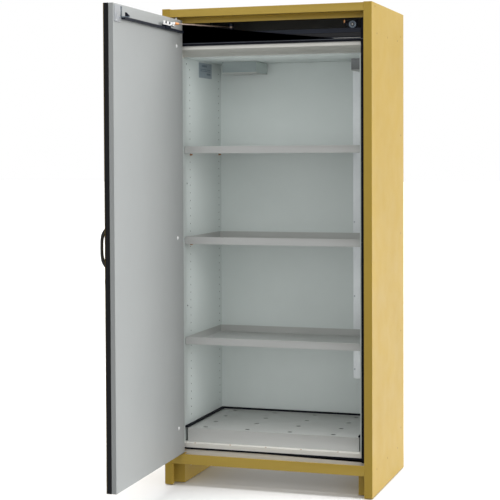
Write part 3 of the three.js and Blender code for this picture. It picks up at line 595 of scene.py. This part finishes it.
def build_door():
    skin = finish_node("door_skin", 0.6, segments=3)
    recolour(skin, LOOKS["black_core"], lambda face: abs(face.normal.dot(DOOR_OUT)) < 0.5)
    finish_node("door_core", 1.2, segments=3)
    finish_node("door_inner_panel", 1.6, segments=3)
    finish_node("door_handle", 3.0, segments=4)
    finish_node("lock_cylinder", 0.6, segments=3)
    finish_node("door_rail", 0.8, material=LOOKS["black_metal"])
    finish_node("rail_bumper", 1.5, segments=3)
    bm = bmesh.new()
    dome = [(0, 0.02), (7.5, 0.02), (7.5, 0.8), (6.6, 1.9), (4.6, 2.7), (2.2, 3.0), (0, 3.1)]
    for along, z in CAPS:
        add_turned(bm, dome, on_door(along, DOOR_INNER, z), DOOR_OUT, 24)
    detail("door_screw_caps", bm, [WHITE_CAP], "door", "clear_plastic", 0)
    build_corner()
    for end in ("upper", "lower"):
        finish_node(f"{end}_pivot_pin", 0.4)
        finish_node(f"{end}_pivot_bush", 0.4)


BRACKET_ALONG = 695
BRACKET_SLOTS = (1865, 1873, 1881, 1888)


def build_corner():
    """The bracket at the rail's end, with its row of slots, and the milky plate beside it."""
    bm = bmesh.new()
    profile = [(0, 0), (2.0, 0), (2.0, 6), (0, 6)]
    for z in BRACKET_SLOTS:
        add_turned(bm, profile, on_door(BRACKET_ALONG, DOOR_INNER - 1, z), DOOR_OUT, 12)
    # painted shade: the slots' cut walls take the near-black tone
    tools = make_object("bracket_tools", bm, [PAINTED_HOLE_SHADE])
    finish_node("rail_end_bracket", 0.4, tools, material=BLUE_ZINC)
    finish_node("corner_plate", 0.8, segments=3)


# ---------------------------------------------------------------- stay and catch
CARRIAGE_SCREWS = ((211, 1872), (254, 1872))
CARRIAGE_FACE = 44  # from the axis to the upright plate that holds the screws
CARRIAGE_BLOCK_TOP = 1865.6
CARRIAGE_BLOCK = (187, 247)  # the stretch of the black block, along the door
ARM_END = (172, 46, 1873)


def build_stay():
    carriage = finish_node("rail_carriage", 0.5, material=WHITE_CAP)
    start, end = (on_door(along, 0, 0) for along in CARRIAGE_BLOCK)
    recolour(carriage, LOOKS["black_metal"], lambda face: face.center.z < CARRIAGE_BLOCK_TOP * MM
             and end.y < face.center.y < start.y)
    bm = bmesh.new()
    head = [(0, 0.05), (5.0, 0.05), (5.0, 2.2), (4.0, 3.0), (1.8, 3.0), (1.8, 1.4), (0, 1.4)]
    for along, z in CARRIAGE_SCREWS:
        add_turned(bm, head, on_door(along, CARRIAGE_FACE, z), DOOR_OUT)
    detail("carriage_screws", bm, [LOOKS["black_metal"]], "carriage", "black_metal", 0)
    arm = finish_node("closer_arm", 0.6, material=ROD)
    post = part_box("arm_post")
    post_at = Vector(((post[0].x + post[1].x) / 2, (post[0].y + post[1].y) / 2, ARM_END[2] * MM))
    tip_at = on_door(*ARM_END)
    along = (post_at - tip_at).normalized()
    recolour(arm, WHITE_CAP, lambda face: (face.center - tip_at).length < 12 * MM)
    bm = bmesh.new()
    ferrule = [(3.0, 9), (5.6, 9), (5.6, 14), (3.4, 28), (2.7, 28), (2.7, 9.2), (3.0, 9)]
    add_turned(bm, ferrule, tip_at, along)
    bmesh.ops.remove_doubles(bm, verts=bm.verts, dist=1e-7)
    detail("arm_ferrule", bm, [ORANGE], "arm", "copper", 0)
    finish_node("arm_post", 0.8, segments=3)
    foot = Vector((post_at.x, post_at.y, post[0].z + 3.2 * MM))
    bm = bmesh.new()
    ring = [(10.2, 0), (14.5, 0), (14.5, 1.2), (12.5, 3.6), (10.2, 3.6), (10.2, 0)]
    add_turned(bm, ring, foot, (0, 0, 1), 28)
    bmesh.ops.remove_doubles(bm, verts=bm.verts, dist=1e-7)
    detail("post_foot_ring", bm, [LOOKS["zinc"]], "cabinet", "zinc", 0)
    finish_node("thermal_link", 0.4)


def build_catch():
    finish_node("catch_plate", 0.4, material=LOOKS["black_metal"])
    lever = finish_node("catch_lever", 0.5, material=LOOKS["black_metal"])
    tab_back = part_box("catch_lever")[0].y + 4 * MM
    recolour(lever, LOOKS["copper"], lambda face: face.center.y < tab_back)
    finish_node("catch_disc", 0.8, material=BLUE_ZINC, segments=3)
    low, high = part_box("catch_disc")
    centre = Vector(((low.x + high.x) / 2, low.y, (low.z + high.z) / 2))
    bm = bmesh.new()
    add_turned(bm, [(0, 0.05), (9.5, 0.05), (9.5, 1.4), (8.0, 2.0), (0, 2.0)], centre, (0, -1, 0), 4)
    detail("catch_diamond", bm, [LOOKS["black_metal"]], "cabinet", "black_metal", 0.2)
    bm = bmesh.new()
    star = []
    for i in range(12):
        angle = math.pi * i / 6
        radius = 6.0 if i % 3 == 0 else 3.2
        star.append((centre.x / MM + radius * math.cos(angle), centre.z / MM + radius * math.sin(angle)))
    add_prism(bm, star, centre.y / MM - 3.6, centre.y / MM - 2.05, axis=1)
    detail("catch_star_screw", bm, [WHITE_CAP], "cabinet", "zinc", 0.2)


# ---------------------------------------------------------------- studio
FLOOR_REACH = 60.0


def build_floor():
    """A pale floor that takes shadows and throws no light back onto the object."""
    bm = bmesh.new()
    bmesh.ops.create_grid(bm, x_segments=8, y_segments=8, size=FLOOR_REACH)
    floor = make_object("studio_floor", bm, [])
    floor.location.z = -0.0005
    material = surface("studio_floor", (0.90, 0.90, 0.90), (0.93, 0.93, 0.93), (0.7, 0.8), mottle=0.6,
                       grain=60, bump=0.02, specular=0.1)
    floor.data.materials.append(material)
    floor.visible_diffuse = False


AMBIENT = {"right": 0.60, "left": 0.35, "front": 0.10, "back": 0.9, "up": 0.75, "down": 0.12}


def build_world():
    """Soft light whose strength drifts with direction: bright behind and above, weak in front and below."""
    world = bpy.data.worlds.new("studio")
    bpy.context.scene.world = world
    world.use_nodes = True
    tree = world.node_tree
    background = tree.nodes["Background"]
    direction = tree.nodes.new("ShaderNodeTexCoord").outputs["Generated"]
    split = tree.nodes.new("ShaderNodeSeparateXYZ")
    tree.links.new(direction, split.inputs["Vector"])

    def maths(operation, a, b):
        made = tree.nodes.new("ShaderNodeMath")
        made.operation = operation
        for socket, value in zip(made.inputs, (a, b)):
            if isinstance(value, (int, float)):
                socket.default_value = value
            else:
                tree.links.new(value, socket)
        return made.outputs["Value"]

    total = 0.0
    for axis, plus, minus in (("X", "right", "left"), ("Y", "back", "front"), ("Z", "up", "down")):
        value = split.outputs[axis]
        positive = maths("GREATER_THAN", value, 0.0)
        level = maths("ADD", maths("MULTIPLY", positive, AMBIENT[plus] - AMBIENT[minus]), AMBIENT[minus])
        total = maths("ADD", total, maths("MULTIPLY", maths("MULTIPLY", value, value), level))
    seen = tree.nodes.new("ShaderNodeLightPath").outputs["Is Camera Ray"]
    strength = maths("ADD", maths("MULTIPLY", total, maths("SUBTRACT", 1.0, seen)), seen)
    background.inputs["Color"].default_value = (1, 1, 1, 1)
    tree.links.new(strength, background.inputs["Strength"])


# name, direction the light comes from, strength, softness in degrees
SUNS = [
    ("key_right", (1.0, 0.28, 0.30), 2.5, 50),
    ("fill_front", (0.22, -1.0, 0.12), 0.5, 60),
    ("fill_side", (1.0, -0.75, 0.18), 0.35, 50),
    ("top", (0.0, 0.0, 1.0), 2.6, 30),
]
# a soft panel above and in front, which lights the top of the front more than its foot
PANEL_AT = (300, -2300, 3300)
PANEL_AIM = (0, 0, 1700)
PANEL_SIZE = 1.8
PANEL_POWER = 18


# soft panels between the shelves, unseen by the camera, which light the back wall
BAYS = [(262, 560), (640, 975), (1055, 1350), (1430, 1730)]
BAY_LIGHT_Y = 95
BAY_LIGHT_WIDTH = 640
BAY_LIGHT_POWER = 0.52


def build_bay_lights():
    for bottom, top in BAYS:
        light = bpy.data.lights.new("bay_panel", "AREA")
        light.shape = "RECTANGLE"
        light.size = BAY_LIGHT_WIDTH * MM
        light.size_y = (top - bottom) * MM
        light.energy = BAY_LIGHT_POWER
        lamp = bpy.data.objects.new("bay_panel", light)
        lamp.location = spot(0, BAY_LIGHT_Y, (bottom + top) / 2)
        lamp.rotation_euler = (math.pi / 2, 0, 0)
        lamp.visible_camera = False
        lamp.visible_glossy = False
        bpy.context.scene.collection.objects.link(lamp)


def build_lights():
    for name, toward, strength, softness in SUNS:
        light = bpy.data.lights.new(name, "SUN")
        light.energy = strength
        light.angle = math.radians(softness)
        lamp = bpy.data.objects.new(name, light)
        lamp.rotation_euler = Vector(toward).to_track_quat("Z", "Y").to_euler()
        bpy.context.scene.collection.objects.link(lamp)
    light = bpy.data.lights.new("panel_above", "AREA")
    light.energy = PANEL_POWER
    light.size = PANEL_SIZE
    lamp = bpy.data.objects.new("panel_above", light)
    lamp.location = spot(*PANEL_AT)
    lamp.rotation_euler = (spot(*PANEL_AT) - spot(*PANEL_AIM)).to_track_quat("Z", "Y").to_euler()
    bpy.context.scene.collection.objects.link(lamp)


CAMERA_AT = (1675.4, -5560.7, 1361.7)
CAMERA_YAW = 0.3327
CAMERA_PITCH = 0.0324
CAMERA_ROLL = -0.0053
CAMERA_LENS = 104.8032  # focal length in mm on a sensor SENSOR mm wide
CAMERA_SHIFT = (0.0864, -0.0996)
SENSOR = 36.0


def build_camera():
    data = bpy.data.cameras.new("camera")
    data.sensor_width = SENSOR
    data.lens = CAMERA_LENS
    data.shift_x, data.shift_y = CAMERA_SHIFT
    data.clip_start = 0.1
    data.clip_end = 200
    camera = bpy.data.objects.new("camera", data)
    camera.location = spot(*CAMERA_AT)
    turn = Matrix.Rotation(CAMERA_YAW, 4, "Z")
    turn = turn @ Matrix.Rotation(math.pi / 2 - CAMERA_PITCH, 4, "X")
    turn = turn @ Matrix.Rotation(CAMERA_ROLL, 4, "Z")
    camera.rotation_euler = turn.to_euler()
    bpy.context.scene.collection.objects.link(camera)
    bpy.context.scene.camera = camera


def colour_carried_nodes():
    """Any CAD node still shown takes its slot's finish."""
    for name, shown in frame["nodes"].items():
        shown.data.materials.clear()
        shown.data.materials.append(LOOKS[SLOT_OF[name]])


colour_carried_nodes()
build_camera()
build_shell()
build_carcass()
build_head()
build_shelves()
build_sump()
build_ventilation()
build_label()
build_door()
build_stay()
build_catch()
build_floor()
build_world()
build_lights()
build_bay_lights()
bpy.context.scene.view_settings.view_transform = "Standard"
